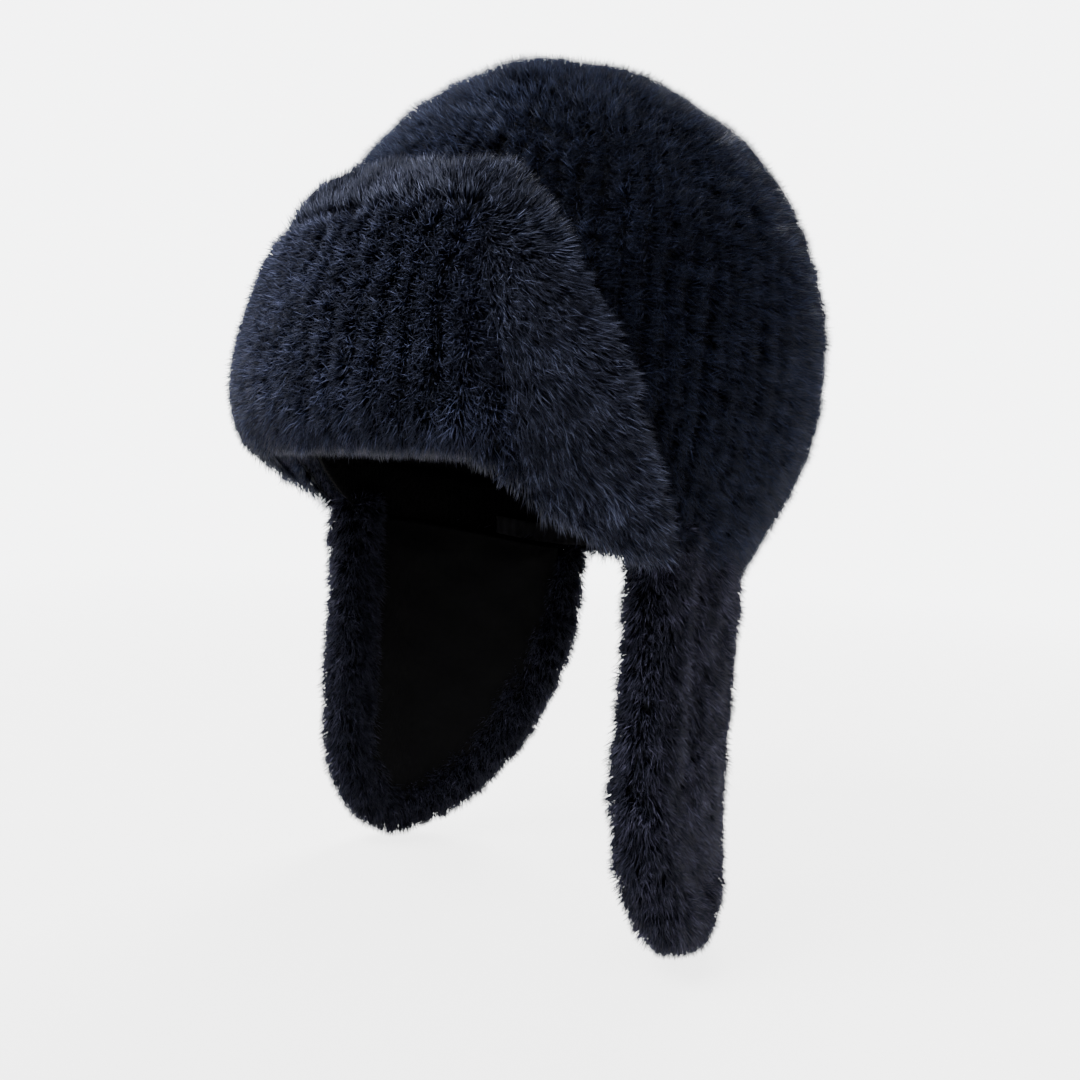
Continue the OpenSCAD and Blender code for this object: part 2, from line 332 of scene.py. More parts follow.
def slab(name, columns, rows, place, material, closed=False):
    """A closed slab. place(i, j, side) gives its points for i and j from 0 to 1; side 0 is outer."""
    across = columns if closed else columns + 1
    i, j = np.meshgrid(np.arange(across) / columns, np.arange(rows + 1) / rows)
    layers = [place(i, j, side).reshape(-1, 3) for side in (0, 1)]
    count, last = len(layers[0]), rows * across
    faces = grid_faces(columns, rows, across, rows + 1)
    faces += grid_faces(columns, rows, across, rows + 1, count, flip=True)
    for c in range(columns):
        n = (c + 1) % across
        faces.append((count + c, count + n, n, c))
        faces.append((last + c, last + n, count + last + n, count + last + c))
    if not closed:
        for r in range(rows):
            a, b = r * across, (r + 1) * across
            faces.append((a, b, count + b, count + a))
            faces.append((count + a + columns, count + b + columns, b + columns, a + columns))
    return mesh_object(name, np.concatenate(layers), faces, material)


def tube(name, along, around, place, material, closed=False):
    """A closed roll. place(i, turn) gives its points, i 0 to 1 along it and turn in radians."""
    steps = along if closed else along + 1
    turn, i = np.meshgrid(np.arange(around) * 2 * math.pi / around, np.arange(steps) / along)
    points = place(i, turn).reshape(-1, 3)
    faces = grid_faces(around, along, around, steps)
    if not closed:
        faces.append(list(range(around))[::-1])
        faces.append([along * around + k for k in range(around)])
    return mesh_object(name, points, faces, material)


def coordinates(obj):
    co = np.empty(len(obj.data.vertices) * 3, np.float32)
    obj.data.vertices.foreach_get("co", co)
    return co.reshape(-1, 3).astype(float)


def set_coordinates(obj, co):
    obj.data.vertices.foreach_set("co", co.astype(np.float32).ravel())
    obj.data.update()


def vertex_normals(obj):
    normals = np.empty(len(obj.data.vertices) * 3, np.float32)
    obj.data.vertex_normals.foreach_get("vector", normals)
    return normals.reshape(-1, 3).astype(float)


def push(obj, distance):
    """Moves each point along its normal by distance(points, normals)."""
    co, normals = coordinates(obj), vertex_normals(obj)
    set_coordinates(obj, co + normals * distance(co, normals)[:, None])


def apply_modifiers(obj):
    """Replaces a piece's mesh with the one its modifiers give."""
    bpy.context.view_layer.update()
    graph = bpy.context.evaluated_depsgraph_get()
    mesh = bpy.data.meshes.new_from_object(obj.evaluated_get(graph), depsgraph=graph)
    obj.modifiers.clear()
    obj.data = mesh


def puff(obj, cap, frames=20):
    """Lets a closed form fill under pressure as cloth, with each point's travel capped."""
    rest = coordinates(obj)
    cloth = obj.modifiers.new("cloth", "CLOTH")
    cloth.settings.use_pressure = True
    cloth.settings.uniform_pressure_force = 4.0
    cloth.settings.effector_weights.gravity = 0.0
    for number in range(1, frames + 1):
        bpy.context.scene.frame_set(number)
    apply_modifiers(obj)
    travel = coordinates(obj) - rest
    length = np.linalg.norm(travel, axis=1, keepdims=True)
    set_coordinates(obj, rest + travel * np.minimum(1, cap / np.maximum(length, 1e-9)))
    bpy.context.scene.frame_set(1)


def inflate(obj, voxel, cap):
    """Turns a slab into a padded form with rounded edges."""
    remesh = obj.modifiers.new("remesh", "REMESH")
    remesh.mode = "VOXEL"
    remesh.voxel_size = voxel
    apply_modifiers(obj)
    puff(obj, cap)
    divide = obj.modifiers.new("divide", "SUBSURF")
    divide.levels = divide.render_levels = 1
    apply_modifiers(obj)
    smooth_shade(obj)


def mirrored(obj, name):
    """A copy of a left-hand piece for the right-hand side."""
    mesh = obj.data.copy()
    copy = bpy.data.objects.new(name, mesh)
    bpy.context.collection.objects.link(copy)
    set_coordinates(copy, coordinates(obj) * [-1, 1, 1])
    mesh.flip_normals()
    return copy


# ---------------------------------------------------------------- materials


def new_material(name):
    material = bpy.data.materials.new(name)
    material.use_nodes = True
    return material, material.node_tree, material.node_tree.nodes["Principled BSDF"]


def add_node(tree, kind, **inputs):
    made = tree.nodes.new(kind)
    for key, value in inputs.items():
        made.inputs[key.replace("_", " ")].default_value = value
    return made


def maths(tree, operation, first, second):
    """A Math node's output. first and second are numbers or sockets."""
    made = tree.nodes.new("ShaderNodeMath")
    made.operation = operation
    for socket, value in zip(made.inputs, (first, second)):
        if isinstance(value, (int, float)):
            socket.default_value = value
        else:
            tree.links.new(value, socket)
    return made.outputs[0]


def ramp(tree, factor, stops):
    """A colour from (position, colour) stops."""
    made = tree.nodes.new("ShaderNodeValToRGB")
    elements = made.color_ramp.elements
    while len(elements) < len(stops):
        elements.new(0.5)
    for element, (position, colour) in zip(elements, stops):
        element.position = position
        element.color = (*colour, 1)
    tree.links.new(factor, made.inputs["Fac"])
    return made.outputs["Color"]


ROOT = (0.0007, 0.0013, 0.0040)
SHEEN = (0.58, 0.65, 1.0)


def strand_material(name, middle, tip, roughness=0.42):
    """Fur with dark roots and paler tips. In the bake map, u is a strand's shade and v runs up it."""
    material, tree, shader = new_material(name)
    place = tree.nodes.new("ShaderNodeUVMap")
    place.uv_map = "OFBake"
    split = tree.nodes.new("ShaderNodeSeparateXYZ")
    tree.links.new(place.outputs["UV"], split.inputs[0])
    along = ramp(tree, split.outputs["Y"], [(0.1, ROOT), (0.5, middle), (0.85, tip)])
    raised = maths(tree, "POWER", split.outputs["X"], 3.0)
    shade = maths(tree, "ADD", maths(tree, "MULTIPLY", raised, 5.0), 0.2)
    scaled = tree.nodes.new("ShaderNodeVectorMath")
    scaled.operation = "SCALE"
    tree.links.new(along, scaled.inputs[0])
    tree.links.new(shade, scaled.inputs["Scale"])
    tree.links.new(scaled.outputs[0], shader.inputs["Base Color"])
    shader.inputs["Roughness"].default_value = roughness
    shader.inputs["Specular IOR Level"].default_value = 0.45
    shader.inputs["Specular Tint"].default_value = (*SHEEN, 1)
    return material


def cloth_material(name, dark, light, scale, relief, roughness, ribbed=False, gloss=0.3):
    """Woven or knitted cloth: crossed threads or ribs, with slow variation over them."""
    material, tree, shader = new_material(name)
    place = tree.nodes.new("ShaderNodeTexCoord").outputs["Object"]
    waves = []
    for direction in ("X", "Z"):
        wave = add_node(tree, "ShaderNodeTexWave", Scale=scale, Distortion=0.6, Detail=1.0)
        wave.bands_direction = direction
        tree.links.new(place, wave.inputs["Vector"])
        waves.append(wave.outputs["Fac"])
    weave = maths(tree, "MULTIPLY" if ribbed else "MAXIMUM", *waves)
    patches = add_node(tree, "ShaderNodeTexNoise", Scale=60.0, Detail=3.0)
    tree.links.new(place, patches.inputs["Vector"])
    tone = maths(tree, "MULTIPLY", maths(tree, "ADD", weave, patches.outputs["Fac"]), 0.5)
    tree.links.new(ramp(tree, tone, [(0.15, dark), (0.85, light)]), shader.inputs["Base Color"])
    raised = add_node(tree, "ShaderNodeBump", Strength=relief, Distance=0.4 * MM)
    tree.links.new(weave, raised.inputs["Height"])
    tree.links.new(raised.outputs["Normal"], shader.inputs["Normal"])
    shader.inputs["Roughness"].default_value = roughness
    shader.inputs["Specular IOR Level"].default_value = gloss
    return material


# The four fur colours are copies of one fur, paler or darker by part of the hat: painted light and
# shade, edge_fur the palest and crown_fur the darkest.
crown_fur = strand_material("crown_fur", (0.0020, 0.0036, 0.0110), (0.019, 0.023, 0.047))
flap_fur = strand_material("flap_fur", (0.0030, 0.0048, 0.0135), (0.036, 0.040, 0.072))
edge_fur = strand_material("edge_fur", (0.0050, 0.0066, 0.0160), (0.060, 0.066, 0.104))
ear_fur = strand_material("ear_fur", (0.0036, 0.0038, 0.0085), (0.042, 0.040, 0.064))
backing = cloth_material("fur_backing", ROOT, (0.004, 0.005, 0.008), 900, 0.4, 0.9)
satin = cloth_material("lining_cloth", (0.0008, 0.0008, 0.0012), (0.0030, 0.0028, 0.0036),
                       1400, 0.25, 0.6, gloss=0.08)
knit = cloth_material("knit", (0.0010, 0.0010, 0.0012), (0.0060, 0.0055, 0.0065),
                      500, 0.6, 0.9, ribbed=True, gloss=0.08)
wadding = cloth_material("wadding", (0.45, 0.45, 0.43), (0.70, 0.70, 0.67), 300, 0.8, 0.95)
tape = cloth_material("elastic_tape", (0.006, 0.006, 0.008), (0.024, 0.024, 0.028),
                      800, 0.5, 0.7, ribbed=True)
woven_label = cloth_material("label_weave", (0.30, 0.30, 0.31), (0.46, 0.46, 0.47), 1200, 0.3, 0.8)

# ---------------------------------------------------------------- fur

SHADES = 64  # columns of the bake map, one for each shade a strand can have
FACES_PER_PIECE = 190000
ROOT_DEPTH = 0.4 * MM


def faces_out(p, n):
    """How far normals at places on the hat point away from the head: 1 outward, -1 inward."""
    return dot(n, unit(p * [1, 1, 0]))[:, 0]


def sample(obj, density, rng, keep):
    """Random roots on a mesh, evenly by area, and the surface's normal at each."""
    corners, co, normals = triangles(obj.data), coordinates(obj), vertex_normals(obj)
    corners = corners[keep(co[corners].mean(1), unit(normals[corners].mean(1)))]
    a, b, c = (co[corners[:, k]] for k in range(3))
    areas = np.linalg.norm(np.cross(b - a, c - a), axis=1) / 2
    count = int(areas.sum() * density * (1.0))
    pick = rng.choice(len(corners), count, p=areas / areas.sum())
    s, t = rng.random((2, count))
    s, t = np.where(s + t > 1, 1 - s, s), np.where(s + t > 1, 1 - t, t)
    weights = np.stack([1 - s - t, s, t], 1)[..., None]
    return (co[corners[pick]] * weights).sum(1), unit((normals[corners[pick]] * weights).sum(1))


def triangle_mesh(name, points, corners):
    """A smooth mesh from points and a flat list of the triangles' vertex numbers."""
    faces = len(corners) // 3
    mesh = bpy.data.meshes.new(name)
    mesh.vertices.add(len(points))
    mesh.vertices.foreach_set("co", points.astype(np.float32).ravel())
    mesh.loops.add(faces * 3)
    mesh.loops.foreach_set("vertex_index", corners.astype(np.int32))
    mesh.polygons.add(faces)
    mesh.polygons.foreach_set("loop_start", np.arange(0, faces * 3, 3, dtype=np.int32))
    mesh.polygons.foreach_set("use_smooth", np.ones(faces, bool))
    mesh.update(calc_edges=True)
    return mesh


def strands(name, roots, ways, bends, radius, shades, material, bent):
    """Tapering three-sided strands as one mesh. bends is how far each tip strays from its way.

    A bent strand has a second ring part of the way up, and a straight one goes from ring to tip.
    """
    rings = 2 if bent else 1
    side = unit(np.cross(ways, np.roll(ways, 1, axis=1) + 0.31))
    other = unit(np.cross(ways, side))
    turn = np.radians([0, 120, 240])[None, :, None]
    ring = (side[:, None] * np.cos(turn) + other[:, None] * np.sin(turn)) * radius
    layers = [roots[:, None] + ring]
    if bent:
        layers.append((roots + ways * 0.6 + bends * 0.25)[:, None] + ring * 0.95)
    layers.append((roots + ways + bends)[:, None])
    points = np.concatenate(layers, 1)
    count, per = points.shape[:2]
    faces = [(2, 1, 0)]
    for k in range(3):
        n, last = (k + 1) % 3, 3 * (rings - 1)
        if bent:
            faces += [(k, n, n + 3), (k, n + 3, k + 3)]
        faces.append((last + k, last + n, per - 1))
    corners = (np.array(faces)[None] + (np.arange(count) * per)[:, None, None]).ravel()
    mesh = triangle_mesh(name, points.reshape(-1, 3), corners)
    column = np.floor(np.clip(shades, 0, 0.999) * SHADES)[:, None]
    u = (column + 0.5 + np.array([-0.4, 0.4, 0.0] * rings + [0.0])) / SHADES
    v = np.broadcast_to([0.0] * 3 + [0.6] * 3 * (rings - 1) + [1.0], u.shape)
    layer = mesh.uv_layers.new(name="OFBake")
    layer.data.foreach_set("uv", np.stack([u.ravel()[corners], v.ravel()[corners]], 1).ravel())
    mesh.materials.append(material)
    obj = bpy.data.objects.new(name, mesh)
    bpy.context.collection.objects.link(obj)
    return obj


def everywhere(centres, normals):
    return np.ones(len(centres), bool)


def even(p):
    return 0.0


def drift(length, level, amount, size, seed):
    """A strand length that varies smoothly about a share of a given one."""
    return lambda p, n: length * (level + amount * wobble(p, size, seed))


def grow(name, skin, material, seed, density, way, length,
         keep=everywhere, tone=even, radius=0.15 * MM, spread=0.2, bent=False, painted_inner_shade=0.0):
    """Grows fur on a skin, a number of strands per square metre, and returns its pieces.

    way(p, n) gives the strands' lean and length(p, n) their length. keep(p, n) says which parts
    of the skin have fur. tone(p) makes it paler, or darker where negative, as painted light and shade,
    and painted_inner_shade makes it darker where it faces the head, as painted shade.
    """
    rng = np.random.default_rng(seed)
    roots, normals = sample(skin, density, rng, keep)
    ways = unit(way(roots, normals) + spread * rng.normal(size=roots.shape))
    swirl = np.stack([wobble(roots, 9 * MM, seed + k) for k in (1, 2, 3)], -1)
    clump = np.stack([wobble(roots, 3.4 * MM, seed + k) for k in (4, 5, 6)], -1)
    ways = unit(ways + 0.16 * swirl + 0.14 * clump)
    reach = (length(roots, normals) * rng.uniform(0.78, 1.1, len(roots)))[:, None]
    flat = ways - normals * dot(ways, normals)
    bends = reach * (0.3 * flat - [0, 0, 0.05])
    shades = 0.44 + 0.25 * rng.normal(size=len(roots)) + 0.1 * wobble(roots, 14 * MM, seed + 7)
    # tone(roots) adds painted light and shade; the next line adds painted shade where the fur faces the
    # head.
    shades = shades + 0.1 * wobble(roots, 3 * MM, seed + 8) + tone(roots)
    shades = shades - painted_inner_shade * ease(-2 * faces_out(roots, normals))
    faces_each = 10 if bent else 4
    parts = math.ceil(len(roots) * faces_each / FACES_PER_PIECE)
    order = np.argsort(roots[:, 2], kind="stable")
    made = []
    for number, chosen in enumerate(np.array_split(order, parts), 1):
        title = name if parts == 1 else f"{name}_{number}"
        made.append(strands(title, roots[chosen] - normals[chosen] * ROOT_DEPTH,
                            ways[chosen] * reach[chosen], bends[chosen], radius,
                            shades[chosen], material, bent))
    return made


def knit_phases(p, az):
    """Phases, in radians, across the knitted ribs and along the lumps of each one."""
    across = np.radians(az * RIBS) + 0.9 * wobble(p, 26 * MM, 5)
    stagger = 2.4 * np.round(across / (2 * math.pi))
    return across, 2 * math.pi * p[..., 2] / LUMP + stagger + 1.6 * wobble(p, 20 * MM, 6)


def rib_fade(z):
    """1 low on the crown and 0 at its top, where the ribs run together."""
    return ease((RIB_TOP_Z - z) / RIB_FADE_H)


def rib_height(p, az):
    """How far the knitted ribs and their lumps stand up."""
    across, along = knit_phases(p, az)
    return rib_fade(p[..., 2]) * (RIB_RISE * np.cos(across) + LUMP_RISE * np.cos(along))


def painted_rib_light(p):
    """Painted light and shade on the knitted ribs: paler fur on their crests and lumps, darker between
    them, strongest in drifting patches.
    """
    across, along = knit_phases(p, crown_az(p))
    patches = 0.6 + 0.4 * wobble(p, 28 * MM, 8)
    return rib_fade(p[:, 2]) * patches * (0.11 * np.cos(across) + 0.05 * np.cos(along))


def tufts(p, az, around, down, splay):
    """Lean of the pile away from the crests of the ribs and from the lumps along them."""
    across, along = knit_phases(p, az)
    return splay * (around * np.sin(across)[:, None] - 0.5 * down * np.sin(along)[:, None])


# ---------------------------------------------------------------- binding to the frame


def ride_crown(piece):
    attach(piece, "crown")


def fasten(pieces, bind):
    """Passes each piece to bind, which attaches it to a body or bakes its transform."""
    for piece in pieces:
        bind(piece)


def dress(piece, bind, slot, *nodes):
    """Fastens a piece that stands in for CAD nodes."""
    fasten([piece], bind)
    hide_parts(*nodes)


# ---------------------------------------------------------------- crown


def crown_skin(name, az_from, az_to):
    """One gore of the crown under its pile, with ribs on its outer face and a slightly uneven shape."""
    def place(i, j, side):
        az = mix(az_from, az_to, i)
        off = CROWN_SKIN - SKIN_T * side
        low = hem_z(az) + 1 * MM
        z = low + (TOP_Z + off - low) * sind(90 * j * APEX)
        p = on_crown(az, z, off)
        if side == 0:
            p = on_crown(az, z, off + rib_height(p, az))
        swell = SWELL * ease((z - SWELL_FROM_Z) / (40 * MM)) * ease((75 - np.abs(az)) / 45)
        bumps = 0.7 * MM * wobble(p, 34 * MM, 7) + swell
        return p + unit(p - [0, TOP_LEAN, WIDEST_Z]) * bumps[..., None]

    return slab(name, 96, 60, place, backing)


def crown_way(p, n):
    az, around, down = crown_frame(p)
    return n * 0.9 + down * 0.35 + rib_fade(p[:, 2])[:, None] * tufts(p, az, around, down, 0.36)


def under_flap(p):
    """1 where the folded front flap presses the crown's pile down, 0 clear of it."""
    u, v = flap_place(p)
    return ease((0.9 - np.abs(u)) / 0.12) * ease((0.9 - v) / 0.12)


def crown_length(p, n):
    return PILE * (1.0 + 0.08 * wobble(p, 13 * MM, 21)) * (1 - 0.4 * under_flap(p))


def off_inner_face(p, n):
    """True on a crown skin's outer face and edges, and False on the face toward the head."""
    return dot(n, p - [0, TOP_LEAN, 0.5 * WIDEST_Z])[:, 0] > 0.02


def make_crown():
    gores = {"front": (0, 60), "side": (60, 120), "back": (120, 180)}
    for number, (place, (az_from, az_to)) in enumerate(gores.items()):
        for side, sign in (("left", 1), ("right", -1)):
            ends = sorted((az_from * sign, az_to * sign))
            skin = crown_skin(f"crown_skin_{place}_{side}", *ends)
            dress(skin, ride_crown, "crown_fur", f"crown_panel_{place}_{side}")
            fur = grow(f"crown_fur_{place}_{side}", skin, crown_fur, 100 + 10 * number + sign,
                       2.3e6, crown_way, crown_length, off_inner_face, painted_rib_light, 0.17 * MM)
            fasten(fur, ride_crown)


def hem_length(p, n):
    """Longer pile over the brow, where the hem shows under the front flap."""
    return mix(6.5 * MM, 4.2 * MM, ease((np.abs(crown_az(p)) - 34) / 14))


def hem_way(p, n):
    return n + [0, 0, -0.5]


def hem_keep(p, n):
    return (faces_out(p, n) > 0.1) | (n[:, 2] < -0.3)


def hem_roll(i, turn):
    """The bound hem: a thin roll round the opening, fuller over the brow to meet the flap's fold."""
    az = 360 * i - 180
    fold = ease((WING_AZ + 2 - np.abs(az)) / 10)
    middle, half = mix(-9.5 * MM, -3.5 * MM, fold), mix(4 * MM, 9 * MM, fold)
    z = mix(hem_z(az), fold_z(az), 0.35) + mix(5 * MM, 6 * MM, fold) + 4 * MM * np.sin(turn)
    return on_crown(az, z, middle + half * np.cos(turn))


def make_hem():
    roll = tube("hem_roll", 240, 14, hem_roll, backing, closed=True)
    dress(roll, ride_crown, "edge_fur", "hem_binding")
    # The hem's fur uses the darker ear_fur colour: painted shade under the front flap's fold.
    fur = grow("hem_fur", roll, ear_fur, 200, 2.2e6, hem_way, hem_length, hem_keep)
    fasten(fur, ride_crown)


# ---------------------------------------------------------------- front flap

FLAP_INNER, FLAP_OUTER = 3.0 * MM, 6.4 * MM
SKIN_U, SKIN_V = 0.96, 0.94  # the fur's skin stops short of the flap's side and top edges
WING_U = 1.04  # but spreads past its side edges low down
SKIN_LOW = 0.01
LAP = 0.01  # how far the flap's pad runs under its edge band


def bend_flap(piece):
    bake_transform(piece)


def skin_u(v):
    """The side edges of the front flap's skin, which spread beyond the pattern low down."""
    return mix(WING_U, SKIN_U, ease((v - 0.5) / 0.4))


def flap_directions(p):
    """Unit vectors across the front flap towards its nearer side edge, and up it."""
    u, v = flap_place(p)
    step = 0.02
    sideways = on_flap(u + step, v, 0.0) - on_flap(u - step, v, 0.0)
    up = on_flap(u, np.clip(v + step, 0, 1), 0.0) - on_flap(u, np.clip(v, 0, 1) - step, 0.0)
    return u, v, unit(sideways) * np.sign(u)[:, None], unit(up)


def keep_off_crown(obj):
    """Holds a front flap piece's points at least FLAP_INNER clear of the crown's surface."""
    co = coordinates(obj)
    az, z = crown_az(co), np.minimum(co[:, 2], FLAP_TOP_Z)
    base = on_crown(az, z, 0.0)
    out = unit(on_crown(az, z, 5 * MM) - base)
    short = np.maximum(FLAP_INNER - dot(co - base, out), 0)
    set_coordinates(obj, co + out * short)


def flap_pad(i, j, side):
    """The ribbed centre field, thinned along its edges."""
    u = (2 * i - 1) * (BAND_U + LAP)
    v = mix(SKIN_LOW, BAND_V + LAP, j)
    edge = np.minimum(np.minimum(i, 1 - i) * 30, np.minimum(j, 1 - j) * 16)
    round_off = 1.2 * MM * (1 - ease(edge))
    return on_flap(u, v, FLAP_OUTER - round_off if side == 0 else FLAP_INNER + 0.4 * round_off)


def flap_ribs(p, n):
    return 0.6 * rib_height(p, crown_az(p)) * ease(faces_out(p, n))


def flap_pad_way(p, n):
    """Down the flap and a little outward, away from the ribs, and more steeply down at its fold."""
    az, around, down = crown_frame(p)
    u, v, sideways, up = flap_directions(p)
    low = ease((0.16 - v) / 0.16)[:, None]
    fan = sideways * 0.4 * np.abs(u)[:, None]
    return n * 0.8 + down * (0.2 + 0.6 * low) + fan + tufts(p, az, around, down, 0.24)


def flap_pad_painted_light(p):
    """Painted light and shade as on the ribs, and painted shade darker towards the fold."""
    return painted_rib_light(p) - 0.16 * ease((0.2 - flap_place(p)[1]) / 0.2)


def flap_band(i, turn):
    """The roll up the flap's right side, over its top and down its left side."""
    across = 0.5 - 0.5 * np.cos(turn)
    v_edge = mix(BAND_V, SKIN_V, across)
    off = mix(FLAP_INNER, FLAP_OUTER, 0.5) + 2.0 * MM * np.sin(turn)
    right, left = i < 1 / 3, i > 2 / 3
    up = np.where(right, 3 * i, np.where(left, 3 - 3 * i, 1))
    v = mix(SKIN_LOW, v_edge, up)
    u_edge = mix(BAND_U, skin_u(v), across)
    u = np.where(right, -u_edge, np.where(left, u_edge, u_edge * (6 * i - 3)))
    return on_flap(u, v, off)


def flap_band_way(p, n):
    """Outward over the flap's edges, and down its sides."""
    u, v, sideways, up = flap_directions(p)
    across = ease((np.abs(u) - BAND_U) / (1 - BAND_U))[:, None]
    side = ease((np.abs(u) - 0.6) / 0.14)[:, None]
    top = ease((v - 0.68) / 0.14)[:, None]
    low = ease((0.2 - v) / 0.2)[:, None]
    fall = side * (1 - top) * (1.5 - 1.0 * across)
    out = unit(sideways * side + up * (top - 0.8 * low - fall) + 1e-6)
    return n * 0.6 + out * 0.85


def flap_band_painted_shade(p):
    """Painted shade: darker along the top."""
    return -0.18 * ease((flap_place(p)[1] - 0.7) / 0.15)


def flap_backing(i, j, side):
    """The cloth against the crown, tucked along its edges."""
    v = mix(0.02, SKIN_V, j)
    u = (2 * i - 1) * (skin_u(v) - 0.01)
    tuck = 0.25 * MM * np.sin(2 * math.pi * i * 23) * (1 - ease(np.minimum(j, 1 - j) * 8))
    return on_flap(u, v, (2.6 if side == 0 else 1.6) * MM + tuck)


def make_front_flap():
    pad = slab("front_flap_pad", 90, 40, flap_pad, backing)
    inflate(pad, 2.2 * MM, 1.6 * MM)
    push(pad, flap_ribs)
    keep_off_crown(pad)
    dress(pad, bend_flap, "flap_fur", "front_flap_fur_panel", "front_flap_interlining")
    fur = grow("front_flap_fur", pad, flap_fur, 300, 2.6e6, flap_pad_way,
               drift(PILE, 0.88, 0.1, 9 * MM, 31), lambda p, n: faces_out(p, n) > 0.15,
               flap_pad_painted_light, radius=0.17 * MM, spread=0.24, bent=True)
    fasten(fur, bend_flap)

    band = tube("front_flap_edge_roll", 180, 20, flap_band, backing)
    dress(band, bend_flap, "edge_fur", "front_flap_edge_band")
    fur = grow("front_flap_edge_fur", band, edge_fur, 310, 2.6e6, flap_band_way,
               drift(PILE, 0.98, 0.1, 12 * MM, 33), lambda p, n: faces_out(p, n) > -0.25,
               flap_band_painted_shade, radius=0.16 * MM, spread=0.22, bent=True)
    fasten(fur, bend_flap)

    cloth = slab("front_flap_backing_cloth", 160, 40, flap_backing, satin)
    dress(cloth, bend_flap, "lining", "front_flap_backing")


# ---------------------------------------------------------------- ear flaps

EAR_MIDDLE = -9.4 * MM
EAR_OUTER, EAR_INNER = -7.8 * MM, -14.4 * MM
EAR_ROLL_INSET = 10.5 * MM
EAR_ROLL_HALF_W, EAR_ROLL_HALF_T = 8.5 * MM, 7.2 * MM


def ear_pad():
    front = EAR_FRONT_AZ + EAR_BAND_AZ * 0.8
    back = mix(EAR_TIP_AZ, EAR_BACK_AZ - EAR_BAND_AZ * 0.7, 0.97)

    def place(i, j, side):
        az = mix(front, back, i)
        z = mix(ear_floor(az, EAR_ROLL_INSET) + 1 * MM, hem_z(az) + 3 * MM, j)
        return on_ear(az, z, EAR_OUTER if side == 0 else EAR_INNER)

    pad = slab("left_ear_pad", 40, 50, place, backing)
    inflate(pad, 2.6 * MM, 1.4 * MM)
    push(pad, lambda p, n: 0.5 * MM * wobble(p, 18 * MM, 41))
    return pad


def ear_roll(i, turn):
    """The fat roll down the left ear flap's front edge, round its tip and up its back edge."""
    inset = EAR_ROLL_INSET + 2.5 * MM * np.sin(math.pi * i) ** 2
    az, z = ear_edge(i, inset)
    z = z + (i < 0.3) * 6 * MM * (1 - i / 0.3)
    ahead_az, ahead_z = ear_edge(np.clip(i + 0.01, 0, 1), inset)
    behind_az, behind_z = ear_edge(np.clip(i - 0.01, 0, 1), inset)
    ahead, behind = on_ear(ahead_az, ahead_z, EAR_MIDDLE), on_ear(behind_az, behind_z, EAR_MIDDLE)
    centre = on_ear(az, z, EAR_MIDDLE)
    out = unit(centre * [1, 1, 0])
    across = unit(np.cross(unit(ahead - behind), out))
    taper = 1 - 0.45 * ease((i - 0.85) / 0.15)
    wide, thick = (np.sign(c) * np.abs(c) ** 0.8 for c in (np.cos(turn), np.sin(turn)))
    return (centre + across * (EAR_ROLL_HALF_W * wide * taper)[..., None]
            + out * (EAR_ROLL_HALF_T * thick * taper)[..., None])


def ear_lining():
    front = EAR_FRONT_AZ + EAR_BAND_AZ * 0.75
    back = mix(EAR_TIP_AZ, EAR_BACK_AZ - EAR_BAND_AZ * 0.7, 0.98)

    def place(i, j, side):
        az = mix(front, back, i)
        z = mix(ear_floor(az, EAR_ROLL_INSET - 1 * MM) + 1 * MM, hem_z(az) + 2 * MM, j)
        edge = ease(np.minimum(np.minimum(i, 1 - i), np.minimum(j, 1 - j)) * 9)
        slack = 0.35 * MM * wobble(np.stack([az, z * 900, 0 * z], -1), 16.0, 51)
        return on_ear(az, z, -15.6 * MM - 1.6 * MM * edge + slack - side * 0.8 * MM)

    return slab("left_ear_lining_cloth", 60, 70, place, satin)


def ear_way(p, n):
    shag = np.stack([wobble(p, 6 * MM, seed) for seed in (45, 46, 47)], -1)
    return n * 0.8 + [0, 0, -0.5] + 0.22 * shag


def finish_ear(side, pad, edge, cloth):
    """Grows one ear flap's fur, bakes the transforms of all its pieces and hides the CAD parts they
    stand in for.
    """

    def bend(piece):
        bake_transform(piece)

    panel = grow(f"{side}_ear_panel_fur", pad, ear_fur, 400, 2.2e6, ear_way,
                 drift(PILE, 1, 0.08, 14 * MM, 43), lambda p, n: faces_out(p, n) > 0.2, bent=True)
    # The edge roll's fur is darkened with painted shade where it faces the head.
    roll = grow(f"{side}_ear_edge_fur", edge, ear_fur, 410, 2.3e6, ear_way,
                drift(7 * MM, 1, 0.1, 14 * MM, 44), radius=0.17 * MM, bent=True, painted_inner_shade=0.25)
    fasten(panel, bend)
    fasten(roll, bend)
    dress(pad, bend, "flap_fur", f"{side}_ear_fur_panel", f"{side}_ear_wadding")
    dress(edge, bend, "edge_fur", f"{side}_ear_edge_roll")
    dress(cloth, bend, "lining", f"{side}_ear_lining")


def make_ears():
    left = {
        "pad": ear_pad(),
        "edge": tube("left_ear_edge", 150, 18, ear_roll, backing),
        "lining_cloth": ear_lining(),
    }
    right = {name: mirrored(piece, f"right_ear_{name}") for name, piece in left.items()}
    finish_ear("left", *left.values())
    finish_ear("right", *right.values())


# ---------------------------------------------------------------- inside

WADDING_OUTER, WADDING_INNER = -10.2 * MM, -12.0 * MM
LINING_OUTER, LINING_T = -12.6 * MM, 0.6 * MM
SWEATBAND_MIDDLE, SWEATBAND_HALF_T = -15.3 * MM, 0.7 * MM
ELASTIC_OUTER, ELASTIC_T = -18.0 * MM, 1.0 * MM


def padding(i, j, side):
    """The quilted wadding between the crown's skin and its lining."""
    az = 360 * i - 180
    off = WADDING_OUTER if side == 0 else WADDING_INNER
    low = hem_z(az) + 8 * MM
    z = low + (TOP_Z + off - low) * sind(90 * j * 0.995)
    p = on_crown(az, z, off)
    return p + unit(p - [0, TOP_LEAN, WIDEST_Z]) * (0.2 * MM * wobble(p, 9 * MM, 61))[..., None]


